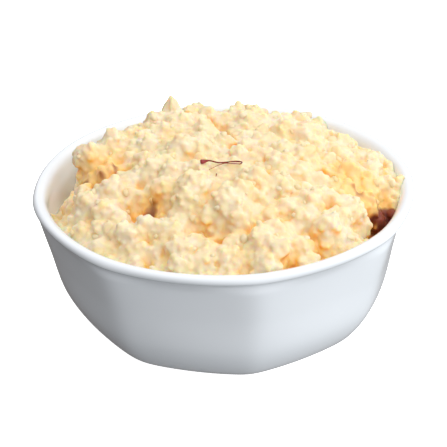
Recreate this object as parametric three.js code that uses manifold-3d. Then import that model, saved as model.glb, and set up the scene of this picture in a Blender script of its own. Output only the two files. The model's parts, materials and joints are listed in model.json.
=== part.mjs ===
// A bowl of milk halwa: an eight-sided white bowl with a round lip, heaped with a crumbly
// milk sweet, and a bent thread of saffron laid on top.
// Millimetres, +Z up. The origin is on the table, under the middle of the bowl, and the bowl's
// flat facets face +X, -X, +Y and -Y.
import * as THREE from "three";
import { mergeVertices } from "three/addons/utils/BufferGeometryUtils.js";
import Module from "manifold-3d";

// ---- Driving dimensions: the bowl ----
const rimRadius = 70;
const bowlHeight = 54;
const wallThickness = 3.2;
const floorThickness = 4.6;
const lipDepth = 3.4; // of the rounded bead at the lip's outer edge
const lipOverhang = 2.5; // how far the bead stands out from the wall below it
const lipWidth = 5.2; // the bead and the roll from it down into the inside
const flareDepth = 2; // of the hollow curve that leads from the wall out to the bead
const rollDepth = 5.1; // of the roll from the bead down into the inside
const coveSize = 4; // of the inside corner between wall and floor
const baseRadius = 45.8;
const footWidth = 7; // the flat ring that the bowl stands on
const recessDepth = 1.2; // of the underside inside that ring
// The outside of the wall from the base to just below the lip, as [radius, height].
const wallOutline = [
  [baseRadius, 0],
  [53.6, 6],
  [60.4, 17.4],
  [64.2, 34],
  [rimRadius - lipOverhang, bowlHeight - lipDepth - flareDepth],
];
// Facets: how far the section goes from a circle (0) towards an octagon (1), by height.
const facetCount = 8;
const facetCrispness = 32; // higher makes sharper ridges
const facetShare = [
  [0, 0.56],
  [17, 0.46],
  [46, 0.72],
  [51, 0.2],
  [bowlHeight, 0.07],
];

// ---- Driving dimensions: the halwa ----
// Places on the heap are [right, away], as seen from the serving side.
const fitGap = 0.3; // between the halwa and the bowl, and under the saffron
const wallLevel = -1; // the halwa against the wall, from the rim, where it hasn't slipped
const crownHeight = 16; // of the heap above that level
const crownSteepness = 3; // higher makes a flatter top and steeper sides
const crownPlace = [-3, 1];
const mouthRadius = rimRadius - lipWidth;
// Where the halwa has slipped down from the wall: the bearing in degrees from the serving
// side (0 is the front, 90 is the right), how deep, how wide in degrees, and how far in.
const slips = [
  { bearing: -104, depth: 15, spread: 28, reach: 10 },
  { bearing: 65, depth: 12, spread: 11, reach: 9 },
  { bearing: 122, depth: 3.5, spread: 30, reach: 7 },
];
const slipSteepness = 6; // higher makes a slip's inner side more of a cliff

// Lumps of curd that stand out of the heap: [right, away, radius, rise].
const bigLumps = [
  [-42, 17, 8, 6],
  [-50, 10, 6, 6],
  [-35.5, 24, 4, 4.5],
  [-27, 30, 8, 3.5],
  [-19.5, 34, 5, 8],
  [-13, 32, 7, 3.5],
  [-6, 36, 7, 3.5],
  [8, 38, 7, 3],
  [15, 36, 6, 2],
  [22, 38, 5, 2],
  [29, 37, 5, 2],
  [38, 42, 5, 3],
  [45, 18, 8, 3.5],
  [54, 8, 7, 5],
  [57, -7, 6, 4.5],
  [-49, -17, 9, 4],
  [-41, -37, 9, 4],
  [-31, -48, 8, 3.5],
  [-24, -43, 5, 4],
  [-20, -54, 7, 2.5],
  [3, -39, 10, 4],
  [-5, -54, 8, 3],
  [14, -25, 7, 3],
  [15, -53, 10, 3.5],
  [39, -44, 10, 4.5],
  [46, -26, 7, 3],
  [29, -33, 8, 2],
  [-14, -28, 9, 2.5],
  [0, 4, 9, 2],
];
// Clefts between lumps: from [right, away] to [right, away], half width and depth.
const clefts = [
  { from: [-3, 28], to: [2, 13], width: 3, depth: 4 },
  { from: [-47, -7], to: [-38, -6], width: 3, depth: 5 },
  { from: [-33, -32], to: [-20, -36], width: 4, depth: 5 },
  { from: [-10, -46], to: [2, -51], width: 3, depth: 3.5 },
  { from: [29, -43], to: [31, -54], width: 2.5, depth: 3.5 },
  { from: [-39, -27], to: [-36, -34], width: 3, depth: 3 },
];
// Small lumps, spread evenly over the heap, each with a radius and a rise by chance.
const smallLumpCount = 90;
const smallLumpRadius = [3.2, 5.6];
const smallLumpRise = [1, 2.6];
const smallLumpReach = 0.93; // how much of the mouth's radius they cover
const smallLumpStray = 0.3; // how far one may be off its even place, in radians
const lumpSeed = 7;
// The smooth place that the saffron lies on.
const bedPlace = [-0.5, -16.5];
const bedRadius = 11;
const settlingWidth = 4; // lumps fade out over this distance from the wall

// ---- Driving dimensions: the saffron ----
const threadRadius = 0.34;
const headLength = 2.6; // the trumpet at the thread's tip
const headRadius = 0.8;
const restClearance = 2; // the thread lies clear of any halwa this near to it
// The thread's course from the trumpet to the fold and back.
const threadCourse = [
  [-7.6, -14.7],
  [-5.1, -14.4],
  [-2.3, -15.1],
  [0.6, -14.5],
  [4.2, -13.8],
  [6.5, -14.6],
  [5.9, -16.4],
  [3.8, -16.6],
  [0.7, -16.2],
  [-2.7, -17.6],
  [-5.1, -18.9],
];
// The serving side is turned this far from the facet that faces -Y, about +Z.
const servingTurn = THREE.MathUtils.degToRad(13.5);

// ---- Mesh fineness ----
const bowlSegments = 64;
const wallSteps = 11;
const beadSteps = 6;
const flareSteps = 3;
const rollSteps = 5;
const halwaSegments = 80;
const halwaSideRings = 5;
const halwaTopRings = 21;
const ringCrowding = 1.3; // higher puts more of the top's rings near the wall
const threadSteps = 36;
const threadSides = 8;

// ---- Shared shape functions ----

// Reads a list of [at, value] pairs as a smooth curve.
function ease(pairs, at) {
  if (at <= pairs[0][0]) return pairs[0][1];
  for (let i = 1; i < pairs.length; i++) {
    const [x0, y0] = pairs[i - 1];
    const [x1, y1] = pairs[i];
    if (at <= x1) return THREE.MathUtils.lerp(y0, y1, THREE.MathUtils.smoothstep(at, x0, x1));
  }
  return pairs[pairs.length - 1][1];
}

// The radius of a rounded octagon whose flats are at 1.
function roundedOctagon(angle) {
  let sum = 0;
  for (let k = 0; k < facetCount; k++) {
    const facing = Math.cos(angle - (2 * Math.PI * k) / facetCount);
    if (facing > 0) sum += facing ** facetCrispness;
  }
  return sum ** (-1 / facetCrispness);
}

const octagonMean = (() => {
  const steps = 90;
  const turn = (2 * Math.PI) / facetCount;
  let sum = 0;
  for (let i = 0; i < steps; i++) sum += roundedOctagon((i / steps) * turn);
  return sum / steps;
})();

// How the bowl's round section is swelled or drawn in at an angle and a height.
function facetFactor(angle, height) {
  return 1 + ease(facetShare, height) * (roundedOctagon(angle) / octagonMean - 1);
}

const wallCurve = new THREE.SplineCurve(wallOutline.map(([r, z]) => new THREE.Vector2(r, z)));

// The inside of the wall: the outside moved in by the wall's thickness.
function innerWallPoints() {
  const points = [];
  for (let i = 0; i <= wallSteps; i++) {
    const at = wallCurve.getPoint(i / wallSteps);
    const along = wallCurve.getTangent(i / wallSteps);
    points.push(new THREE.Vector2(at.x - along.y * wallThickness, at.y + along.x * wallThickness));
  }
  return points.filter((p) => p.y > floorThickness + 1);
}

const innerWall = innerWallPoints();

// The inside radius of the round section at a height.
function innerRadius(height) {
  const level = innerWall.map((p) => [p.y, p.x]);
  for (let i = 1; i < level.length; i++) {
    const [z0, r0] = level[i - 1];
    const [z1, r1] = level[i];
    if (height <= z1) return THREE.MathUtils.mapLinear(height, z0, z1, r0, r1);
  }
  return level[level.length - 1][1];
}

// Moves a lathe's vertices out and in, so that its round section gets the bowl's facets.
function facetLathe(points, segments) {
  const geometry = new THREE.LatheGeometry(points, segments);
  geometry.rotateX(Math.PI / 2);
  const position = geometry.getAttribute("position");
  for (let i = 0; i < position.count; i++) {
    const x = position.getX(i);
    const y = position.getY(i);
    const factor = facetFactor(Math.atan2(y, x), position.getZ(i));
    position.setXY(i, x * factor, y * factor);
  }
  return geometry;
}

// ---- The bowl ----

// The lip: a hollow flare out from the wall, a round bead, and a roll down into the inside.
function lipPoints() {
  const bead = lipDepth / 2;
  const beadPoint = (degrees) => {
    const turn = THREE.MathUtils.degToRad(degrees);
    const r = rimRadius - bead + bead * Math.cos(turn);
    return new THREE.Vector2(r, bowlHeight - bead + bead * Math.sin(turn));
  };
  const [beadStart, beadEnd] = [-45, 90];
  const wallTop = wallCurve.getPoint(1);
  const upWall = wallCurve.getTangent(1).multiplyScalar(flareDepth);
  const flare = new THREE.QuadraticBezierCurve(
    wallTop,
    wallTop.clone().add(upWall),
    beadPoint(beadStart),
  );
  const beadPoints = Array.from({ length: beadSteps + 1 }, (_, i) => {
    return beadPoint(THREE.MathUtils.lerp(beadStart, beadEnd, i / beadSteps));
  });
  const rollEnd = bowlHeight - rollDepth;
  const roll = new THREE.QuadraticBezierCurve(
    beadPoint(beadEnd),
    new THREE.Vector2(mouthRadius, bowlHeight),
    new THREE.Vector2(innerRadius(rollEnd), rollEnd),
  );
  return [
    ...flare.getPoints(flareSteps).slice(1, -1),
    ...beadPoints,
    ...roll.getPoints(rollSteps).slice(1),
  ];
}

function bowlMesh() {
  const inside = [...innerWall].reverse().filter((p) => p.y < bowlHeight - rollDepth - 1);
  const floorRadius = inside[inside.length - 1].x - coveSize;
  const points = [
    new THREE.Vector2(0, recessDepth),
    new THREE.Vector2(baseRadius - footWidth - recessDepth, recessDepth),
    new THREE.Vector2(baseRadius - footWidth, 0),
    ...wallCurve.getPoints(wallSteps),
    ...lipPoints(),
    ...inside,
    new THREE.Vector2(floorRadius, floorThickness),
    new THREE.Vector2(0, floorThickness),
  ];
  const glaze = new THREE.MeshStandardMaterial({ color: 0xf4f4f6, roughness: 0.12, metalness: 0 });
  const mesh = new THREE.Mesh(facetLathe(points, bowlSegments), glaze);
  mesh.name = "bowl";
  return mesh;
}

// ---- The halwa ----

// A repeatable random number from 0 to 1 for each whole number.
function chance(n) {
  const s = Math.sin(n * 127.1 + lumpSeed * 311.7) * 43758.5453;
  return s - Math.floor(s);
}

// From [right, away], seen from the serving side, to the bowl's own X and Y.
function served(right, away) {
  return [
    right * Math.cos(servingTurn) - away * Math.sin(servingTurn),
    right * Math.sin(servingTurn) + away * Math.cos(servingTurn),
  ];
}

// How far a place on the heap is from the saffron's bed: 0 on it, 1 well away.
const bedMiddle = served(...bedPlace);
function offBed(x, y) {
  const away = Math.hypot(x - bedMiddle[0], y - bedMiddle[1]);
  return THREE.MathUtils.smoothstep(away, 0.6 * bedRadius, bedRadius);
}

// Small lumps on a sunflower spiral, which spreads them evenly.
function smallLumps() {
  const golden = Math.PI * (3 - Math.sqrt(5));
  const lumps = [];
  for (let i = 0; i < smallLumpCount; i++) {
    const r = mouthRadius * smallLumpReach * Math.sqrt((i + 0.5) / smallLumpCount);
    const angle = i * golden + THREE.MathUtils.lerp(-1, 1, chance(3 * i)) * smallLumpStray;
    lumps.push([
      r * Math.cos(angle),
      r * Math.sin(angle),
      THREE.MathUtils.lerp(...smallLumpRadius, chance(3 * i + 1)),
      THREE.MathUtils.lerp(...smallLumpRise, chance(3 * i + 2)),
    ]);
  }
  return lumps;
}

const allLumps = [
  ...bigLumps.map(([right, away, radius, rise]) => [...served(right, away), radius, rise]),
  ...smallLumps(),
];

const allClefts = clefts.map(({ from, to, width, depth }) => ({
  line: new THREE.Line3(
    new THREE.Vector3(...served(...from), 0),
    new THREE.Vector3(...served(...to), 0),
  ),
  width,
  depth,
}));

// How far the heap has slipped down at a bearing from the serving side and a distance in
// from the wall.
function slippedBy(bearing, inward) {
  let depth = 0;
  for (const slip of slips) {
    const apart = Math.abs(bearing - THREE.MathUtils.degToRad(slip.bearing)) % (2 * Math.PI);
    const turn = Math.min(apart, 2 * Math.PI - apart) / THREE.MathUtils.degToRad(slip.spread);
    depth += slip.depth * Math.exp(-(turn ** 2) - (inward / slip.reach) ** slipSteepness);
  }
  return depth;
}

// The heap without its lumps, above the rim.
function heapBase(x, y) {
  const r = Math.hypot(x, y);
  const inShare = 1 - Math.min(1, r / mouthRadius);
  const [crownX, crownY] = served(...crownPlace);
  const fromCrown = Math.hypot(x - crownX * inShare, y - crownY * inShare) / mouthRadius;
  const dome = crownHeight * (1 - Math.min(1, fromCrown) ** crownSteepness);
  const bearing = Math.atan2(x, -y) - servingTurn;
  return wallLevel + dome - slippedBy(bearing, Math.max(0, mouthRadius - r));
}

// The heap's top, above the rim.
function heapTop(x, y) {
  let rise = 0;
  for (const [lumpX, lumpY, radius, up] of allLumps) {
    const far = ((x - lumpX) ** 2 + (y - lumpY) ** 2) / radius ** 2;
    if (far < 1) rise = Math.max(rise, up * Math.sqrt(1 - far));
  }
  const here = new THREE.Vector3(x, y, 0);
  const nearest = new THREE.Vector3();
  for (const { line, width, depth } of allClefts) {
    line.closestPointToPoint(here, true, nearest);
    rise -= depth * Math.exp(-((nearest.distanceTo(here) / width) ** 2));
  }
  const inward = Math.max(0, mouthRadius - Math.hypot(x, y));
  return heapBase(x, y) + rise * offBed(x, y) * Math.min(1, inward / settlingWidth);
}

// The halwa is a lathe's grid whose rings run from the middle of the bowl's floor out, up
// the wall and back in over the heap, each vertex moved to where it belongs.
function halwaMesh() {
  const firstWallRing = 1;
  const topWallRing = firstWallRing + halwaSideRings;
  const lastRing = topWallRing + halwaTopRings;
  const grid = Array.from({ length: lastRing + 1 }, (_, i) => {
    return new THREE.Vector2(i % lastRing ? 1 : 0, i);
  });
  const geometry = new THREE.LatheGeometry(grid, halwaSegments);
  const position = geometry.getAttribute("position");
  const bottom = floorThickness + fitGap;
  for (let i = 0; i < position.count; i++) {
    const ring = i % (lastRing + 1);
    const angle = (2 * Math.PI * Math.floor(i / (lastRing + 1))) / halwaSegments;
    const [c, s] = [Math.cos(angle), Math.sin(angle)];
    const topLevel = bowlHeight + heapBase(mouthRadius * c, mouthRadius * s);
    const upWall = Math.min(1, Math.max(0, ring - firstWallRing) / halwaSideRings);
    let z = THREE.MathUtils.lerp(bottom, topLevel, upWall);
    const gap = ring === firstWallRing ? coveSize + fitGap : fitGap;
    let r = (innerRadius(z) - gap) * facetFactor(angle, z) - fitGap / 2;
    if (ring === 0) r = 0;
    if (ring > topWallRing) {
      r *= 1 - ((ring - topWallRing) / halwaTopRings) ** ringCrowding;
      z = bowlHeight + heapTop(r * c, r * s);
    }
    position.setXYZ(i, r * c, r * s, z);
  }
  const curd = new THREE.MeshStandardMaterial({ color: 0xf8dfae, roughness: 0.55, metalness: 0 });
  const mesh = new THREE.Mesh(geometry, curd);
  mesh.name = "halwa";
  return mesh;
}

// ---- The saffron ----

// The height of a thread's middle at a place on the heap: clear of the halwa all round.
function restHeight(x, y) {
  let top = heapTop(x, y);
  for (let turn = 0; turn < 2 * Math.PI; turn += Math.PI / 6) {
    const nearX = x + restClearance * Math.cos(turn);
    const nearY = y + restClearance * Math.sin(turn);
    top = Math.max(top, heapTop(nearX, nearY));
  }
  return bowlHeight + top + fitGap + threadRadius;
}

function threadPath() {
  const course = threadCourse.map((place) => {
    const [x, y] = served(...place);
    return new THREE.Vector3(x, y, restHeight(x, y));
  });
  return new THREE.CatmullRomCurve3(course);
}

function threadGeometry(path) {
  const section = new THREE.Shape();
  section.absarc(0, 0, threadRadius, 0, 2 * Math.PI);
  return new THREE.ExtrudeGeometry(section, {
    steps: threadSteps,
    extrudePath: path,
    curveSegments: threadSides / 2,
  });
}

// The trumpet narrows from its mouth, at the thread's tip, to the thread.
function trumpetGeometry(path) {
  const outline = [
    [0, 0],
    [0.8 * headRadius, 0],
    [headRadius, 0.2 * headLength],
    [0.9 * threadRadius, headLength],
    [0, headLength],
  ];
  const points = outline.map(([r, along]) => new THREE.Vector2(r, along));
  const geometry = new THREE.LatheGeometry(points, threadSides);
  const inward = path.getTangent(0);
  const lathed = new THREE.Vector3(0, 1, 0);
  const turn = new THREE.Quaternion().setFromUnitVectors(lathed, inward);
  const mouth = path.getPoint(0).addScaledVector(inward, -0.4 * headLength);
  mouth.z += headRadius - threadRadius;
  return geometry.applyQuaternion(turn).translate(mouth.x, mouth.y, mouth.z);
}

function solid(wasm, geometry) {
  const bare = geometry.index ? geometry.toNonIndexed() : geometry.clone();
  bare.deleteAttribute("normal");
  bare.deleteAttribute("uv");
  const merged = mergeVertices(bare, 1e-4);
  return new wasm.Manifold(
    new wasm.Mesh({
      numProp: 3,
      vertProperties: merged.getAttribute("position").array,
      triVerts: new Uint32Array(merged.index.array),
    }),
  );
}

function geometryOf(made) {
  const mesh = made.getMesh();
  const geometry = new THREE.BufferGeometry();
  geometry.setAttribute("position", new THREE.BufferAttribute(mesh.vertProperties, 3));
  geometry.setIndex(new THREE.BufferAttribute(mesh.triVerts, 1));
  return geometry.toNonIndexed();
}

async function saffronMesh() {
  const wasm = await Module();
  wasm.setup();
  const path = threadPath();
  const joined = solid(wasm, threadGeometry(path)).add(solid(wasm, trumpetGeometry(path)));
  const red = new THREE.MeshStandardMaterial({ color: 0x7a1f1c, roughness: 0.5, metalness: 0 });
  const mesh = new THREE.Mesh(geometryOf(joined), red);
  mesh.name = "saffron_thread";
  return mesh;
}

const bowlOfHalwa = new THREE.Group();
bowlOfHalwa.add(bowlMesh(), halwaMesh(), await saffronMesh());

export default bowlOfHalwa;
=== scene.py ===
"""A glazed bowl heaped with crumbly milk halwa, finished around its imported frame.

Lengths are in metres on the frame's own axes, with the table at Z = 0. Two of the bowl's
facets face +X and -X and two face +Y and -Y. The serving side is turned a little from -Y.
"""

import json
from math import cos, pi, radians, sin

import bmesh
import bpy
import numpy as np
from bpy.props import FloatProperty, FloatVectorProperty, IntProperty, PointerProperty
from mathutils import Matrix, Vector, noise
from mathutils.bvhtree import BVHTree
from mathutils.kdtree import KDTree

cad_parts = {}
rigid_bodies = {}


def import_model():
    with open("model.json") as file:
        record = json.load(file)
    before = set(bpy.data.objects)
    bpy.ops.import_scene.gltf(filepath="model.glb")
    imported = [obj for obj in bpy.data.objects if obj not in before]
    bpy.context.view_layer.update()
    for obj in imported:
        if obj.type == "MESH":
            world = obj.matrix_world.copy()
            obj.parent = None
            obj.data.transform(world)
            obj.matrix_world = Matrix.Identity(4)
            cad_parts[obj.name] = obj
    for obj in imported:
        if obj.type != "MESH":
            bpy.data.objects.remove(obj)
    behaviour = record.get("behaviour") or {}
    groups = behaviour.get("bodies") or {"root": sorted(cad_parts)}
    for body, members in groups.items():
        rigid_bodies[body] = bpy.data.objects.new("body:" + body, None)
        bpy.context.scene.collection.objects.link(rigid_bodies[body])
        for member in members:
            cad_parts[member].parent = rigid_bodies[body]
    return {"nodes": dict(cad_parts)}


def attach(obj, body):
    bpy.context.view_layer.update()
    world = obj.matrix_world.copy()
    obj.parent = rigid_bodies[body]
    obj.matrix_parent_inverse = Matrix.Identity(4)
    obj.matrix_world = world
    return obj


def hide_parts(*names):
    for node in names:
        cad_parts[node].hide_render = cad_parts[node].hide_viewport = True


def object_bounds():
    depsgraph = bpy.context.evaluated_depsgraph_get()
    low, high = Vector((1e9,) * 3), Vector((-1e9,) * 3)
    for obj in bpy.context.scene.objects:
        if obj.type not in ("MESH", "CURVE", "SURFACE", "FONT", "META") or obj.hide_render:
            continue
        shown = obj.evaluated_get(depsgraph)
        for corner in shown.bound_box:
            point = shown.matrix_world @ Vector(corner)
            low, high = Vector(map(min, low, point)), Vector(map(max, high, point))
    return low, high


bl_info = {
    "name": "Bowl of milk halwa",
    "version": (1, 0, 0),
    "blender": (4, 5, 0),
    "location": "3D Viewport > Sidebar > Halwa",
    "description": "Makes a glazed bowl heaped with milk halwa, with a saffron thread on top",
    "category": "Add Mesh",
}

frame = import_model()
cad_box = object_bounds()

MM = 0.001

# The bowl's outer wall from the foot to the lip, as radius and height.
WALL_OUTLINE = ((0.0458, 0.0), (0.0536, 0.006), (0.0604, 0.0174), (0.0642, 0.034), (0.0675, 0.0486))
# How much of an octagon the round section is, by height.
FACET_SHARE = ((0.0, 0.56), (0.017, 0.46), (0.046, 0.72), (0.051, 0.2), (0.054, 0.07))
FACETS = 8
BOWL_SEGMENTS = 288
FLOOR_RINGS = 10

# The saffron's course from its trumpet to the fold and back: right and away of the bowl's
# middle, seen from the serving side, in millimetres.
THREAD_COURSE = (
    (-7.9, -17.0),
    (-5.3, -15.8),
    (-2.5, -15.4),
    (0.6, -14.5),
    (4.2, -13.8),
    (6.5, -14.6),
    (5.9, -16.4),
    (3.8, -16.6),
    (0.7, -16.2),
    (-2.7, -17.6),
    (-5.1, -18.9),
)
# Gaps between the heap's masses, seen from the serving side: right and away of the bowl's
# middle, width and depth, in millimetres. The last is where the heap has left the wall.
GAPS = (
    (-45, -11, 4.5, 6),
    (-53, -3, 3, 4),
    (-36.5, -4, 3, 6),
    (-38, 3.5, 2.5, 5),
    (-28, 5, 2.5, 4),
    (-29, -17, 3, 4),
    (-26, -30, 5, 8),
    (-31, -28, 4, 6),
    (-27, -47, 2.5, 6),
    (-36, -37.5, 2.5, 5),
    (-40.5, -33.5, 2, 4),
    (-8, -44, 3.5, 5),
    (-0.5, -48, 3.5, 5),
    (-27, -54, 2.5, 4),
    (-21, -54, 2.5, 4),
    (-19.5, -24.5, 2.5, 3),
    (1, 12.5, 3.4, 4.5),
    (-1, 22, 3.6, 4),
    (3.5, 4.5, 2.5, 5),
    (-18, 13.5, 2.5, 4),
    (-21.5, -47.5, 2, 4),
    (16, -16.5, 3, 4),
    (24, -16.5, 3, 3.5),
    (36.5, -12, 2.5, 6),
    (43, -22, 3, 4),
    (49.5, -22, 4, 5),
    (36.5, -32.5, 3, 4),
    (19, -41, 3, 3.5),
    (8.5, -46, 3, 4),
    (12.5, -44, 2.5, 3.5),
    (31, -45.5, 2.2, 6),
    (31, -50.5, 2.2, 5),
    (36, -52, 4.5, 6),
    (22, -58, 3.5, 6),
    (6, -62, 3, 4),
    (26, 14, 2, 3),
    (20.5, 23, 2.5, 3),
    (12, -31.5, 3, 3),
    (-58, -18, 2, 4),
    (-38, 31, 3, 5),
    (-15, 44, 3.5, 5),
    (9, 49, 3, 5),
    (30, 40, 3.5, 5),
    (44, 27, 3, 4),
    (-39, 23, 2, 2),
    (50, 6, 3, 4),
    (12, 33, 3, 4),
    (-6, 35, 2.5, 4),
    (58, -23, 5.5, 13),
)
# Curds that stand high over the rest, or low: right and away, width and height, in millimetres.
PEAKS = (
    (-42.2, 16, 3, 3),
    (-30.5, 36, 4.5, -4.5),
    (-19.5, 38, 4, 6.5),
    (-11.5, 38, 3.5, -3),
    (-1.5, 54, 6, -4.5),
    (15, 53, 6, -4),
    (42, 33, 3.5, -2.5),
    (-30.5, 29, 2.5, -3),
    (-1.5, 43.5, 4.5, -2.5),
    (23.7, 40, 3, 2),
    (45.9, 25, 3, -2.5),
    (47.5, 18.5, 5, -2.5),
    (62.5, 15, 4, 3.5),
)
# Where more shade is painted into the curds' colour, partly for their own deeper golden tone,
# 0.5 being golden and 1 brown: right and away, width, share, and the height that the painted
# shade reaches up to, in millimetres.
PAINTED_SHADE_SPOTS = (
    (-47, -4, 11, 0.79, 90),
    (-38, 4, 7, 0.25, 90),
    (50, -14, 12, 0.72, 90),
    (37, -6, 11, 0.35, 90),
    (1, 13, 4, 0.25, 90),
    (-26, -28, 5, 0.55, 90),
    (22, -56, 4, 0.15, 90),
    (60.5, -18, 5, 1.0, 54),
)
# How far the gaps' outlines wander, and over what scale.
WANDER = 3.4 * MM
WANDER_SCALE = 210.0
# A gap this deep, in millimetres, counts fully: curds keep out of it most, and most shade is
# painted in it.
DEEPEST_GAP = 8
# Below the lip line the bowl's wall holds the heap. The other three are the lowest that the
# heap's open top, its gaps and its peaks reach down to.
LIP_LINE = 0.0535
LOWEST_TOP = 0.030
LOWEST_GAP = 0.036
LOWEST_PEAK = 0.040
# Nearer the wall than this the heap's side is pressed against it, and this far into it. No curd
# grows where the heap is not clear of the wall.
AT_WALL = 1.5 * MM
PRESSED_IN = 0.4 * MM
CLEAR_OF_WALL = 0.9 * MM
# How far from the middle the heap may hang over the lip.
OVERHANG = 0.0668
# The smooth place under the saffron: right and away of its middle, in millimetres.
BED = (-0.5, -16.5)
BED_RADIUS = 10.5 * MM
BED_FADE = 4 * MM
# How far the heap and the crumbs may press into the bowl's wall.
HEAP_OVERLAP = 0.3 * MM
CRUMB_OVERLAP = 0.2 * MM
# How the curds of each kind fall: most of them to a square metre, how many more are small than
# large, and the share of its own size that each is sunk by.
LUMPS = {"Density": 60000.0, "Skew": 1.1, "Sink": 0.22}
GRAINS = {"Density": 500000.0, "Skew": 1.2, "Sink": 0.2}
CRUMBS = {"Density": 300000.0, "Skew": 1.6, "Sink": 0.3}
# How many shapes the curds of a kind are picked from.
SHAPES = 6
# The cells of the heap's skin before and after the middling curds.
CORE_CELL = 1.0 * MM
LUMP_CELL = 0.9 * MM
HEAP_TRIANGLES = 190000
# How far a vertex looks for what hides the sky, how far off the surface it starts, and the
# least sum of the ways it looks that counts as a whole sky.
SKY_REACH = 10 * MM
SKY_CLEARANCE = 0.06 * MM
OPEN_SKY = 3.2
# How much lighter the crumbs are painted than the heap under them, as sky added to theirs, and
# how much painted shade they leave on the heap under them, as sky taken from its own.
CRUMB_LIGHT = 0.12
CRUMB_SHADE = 0.25
# Painted shade in the curds' colour: lightly shaded to deepest, and where most is painted.
SHADE_GOLD = (0.95, 0.585, 0.185)
DEEPEST_SHADE_BROWN = (0.30, 0.09, 0.03)
PAINTED_SHADE_BROWN = (0.26, 0.065, 0.035)
# The saffron's radius along its course, in radii of its trumpet's mouth, and the broken tip's
# course and radius along it, in millimetres.
THREAD_RADII = (
    (0, 0.85),
    (0.02, 1.0),
    (0.05, 0.75),
    (0.10, 0.34),
    (0.14, 0.29),
    (0.5, 0.28),
    (0.62, 0.2),
    (1.0, 0.12),
)
THREAD_STEPS = 190
TIP_COURSE = ((-2.6, -19.8), (-2.5, -20.6), (-2.7, -21.5))
TIP_RADII = ((0, 0.12), (0.5, 0.2), (1, 0.1))
TIP_STEPS = 24
# Higher than anything on the heap, for rays cast down on it.
OVER_ALL = 0.09
# Lights: name, bearing from the serving side, elevation, distance, width, power, colour.
LIGHTS = (("soft box", 60, 65, 0.9, 0.5, 0.8, (1.0, 1.0, 1.0)),)
# The soft light from all round: the side it comes from, seen from the serving side, its
# strength there and its colour.
SKY = (
    ((1, 0, 0), 0.8, (0.93, 0.98, 1.0)),
    ((0, 0, 1), 1.2, (1.0, 1.0, 1.0)),
    ((0.6, -0.8, 0), 0.73, (0.97, 0.99, 1.0)),
    ((0, 1, 0), 0.24, (1.0, 0.92, 0.9)),
)


# ---- Sizes and finishes that a user would change ----


def length(name, description, default):
    return FloatProperty(
        name=name,
        description=description,
        default=default,
        unit="LENGTH",
        subtype="DISTANCE",
        precision=5,
    )


def angle(name, description, degrees):
    return FloatProperty(
        name=name,
        description=description,
        default=radians(degrees),
        unit="ROTATION",
        subtype="ANGLE",
    )


def colour(name, description, default):
    return FloatVectorProperty(
        name=name,
        description=description,
        default=default,
        subtype="COLOR",
        size=3,
        min=0.0,
        max=1.0,
    )


class BowlSizes(bpy.types.PropertyGroup):
    height: length("Height", "From the table to the top of the lip", 0.054)
    rim_radius: length("Rim radius", "To the outside of the lip, before the facets", 0.070)
    wall_thickness: length("Wall thickness", "Of the side wall", 0.0032)
    floor_thickness: length("Floor thickness", "From the table to the inside floor", 0.0046)
    lip_depth: length("Lip depth", "Height of the lip's round bead", 0.0034)
    lip_width: length("Lip width", "From the lip's outside to where it rolls down", 0.0052)
    roll_depth: length("Roll depth", "How far the lip rolls down into the bowl", 0.0051)
    flare_depth: length("Flare depth", "How far the flare under the lip reaches", 0.002)
    foot_width: length("Foot width", "Of the flat ring that the bowl stands on", 0.007)
    recess_depth: length("Recess depth", "Of the hollow inside the foot ring", 0.0012)
    crispness: FloatProperty(
        name="Facet crispness",
        description="Higher makes the ridges between the facets sharper",
        default=32.0,
        min=4.0,
    )
    glaze: colour("Glaze", "Colour of the white glaze", (0.80, 0.825, 0.865))


class HalwaSizes(bpy.types.PropertyGroup):
    sink: length("Sink", "How far the core lies under the heap's outline", 0.0033)
    lump_spacing: length("Lump spacing", "Least distance between middling curds", 0.0070)
    lump_smallest: length("Smallest lump", "Radius of the smallest middling curd", 0.0028)
    lump_largest: length("Largest lump", "Radius of the largest middling curd", 0.0062)
    grain_spacing: length("Grain spacing", "Least distance between small curds", 0.0023)
    grain_smallest: length("Smallest grain", "Radius of the smallest small curd", 0.0009)
    grain_largest: length("Largest grain", "Radius of the largest small curd", 0.0021)
    fineness: length("Fineness", "Cell size of the curds' surface", 0.00056)
    seed: IntProperty(name="Seed", description="Chooses where the curds fall", default=3)
    curd: colour("Curd", "Colour of the pale curds", (0.815, 0.690, 0.452))
    # The colour of the painted shade between the curds, where they see little sky.
    painted_shade: colour("Painted shade", "Colour where light is lost between curds", (0.82, 0.36, 0.08))


class CrumbSizes(bpy.types.PropertyGroup):
    spacing: length("Spacing", "Least distance between crumbs", 0.0062)
    smallest: length("Smallest crumb", "Radius of the smallest crumb", 0.0008)
    largest: length("Largest crumb", "Radius of the largest crumb", 0.0017)
    seed: IntProperty(name="Seed", description="Chooses where the crumbs fall", default=23)


class SaffronSizes(bpy.types.PropertyGroup):
    head_radius: length("Trumpet radius", "Of its mouth; the thread goes with it", 0.0009)


class StageSettings(bpy.types.PropertyGroup):
    serving_turn: angle("Serving turn", "Of the serving side about Z, from the -Y facet", 13.5)
    elevation: angle("Camera elevation", "Of the camera over the rim", 27.2819)
    roll: angle("Camera roll", "Of the camera about its own axis", -1.2414)
    distance: length("Camera distance", "From the middle of the rim", 0.598087)
    lens: FloatProperty(
        name="Lens",
        description="Focal length on a sensor 36 mm wide",
        default=130.65,
        subtype="DISTANCE_CAMERA",
    )
    aim_right: FloatProperty(
        name="Aim right",
        description="How far right of the rim's middle the camera aims, as a slope",
        default=-0.0007,
        precision=4,
    )
    aim_up: FloatProperty(
        name="Aim up",
        description="How far above the rim's middle the camera aims, as a slope",
        default=-0.0254,
        precision=4,
    )
    sky: FloatProperty(
        name="Sky",
        description="Share of the soft light from all round",
        default=1.0,
        min=0.0,
    )


# ---- Helpers ----


def give(tree, node, inputs):
    """Set a node's inputs to values, or link them to other nodes' outputs."""
    for key, value in inputs.items():
        if isinstance(value, bpy.types.NodeSocket):
            tree.links.new(value, node.inputs[key])
        else:
            node.inputs[key].default_value = value


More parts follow.
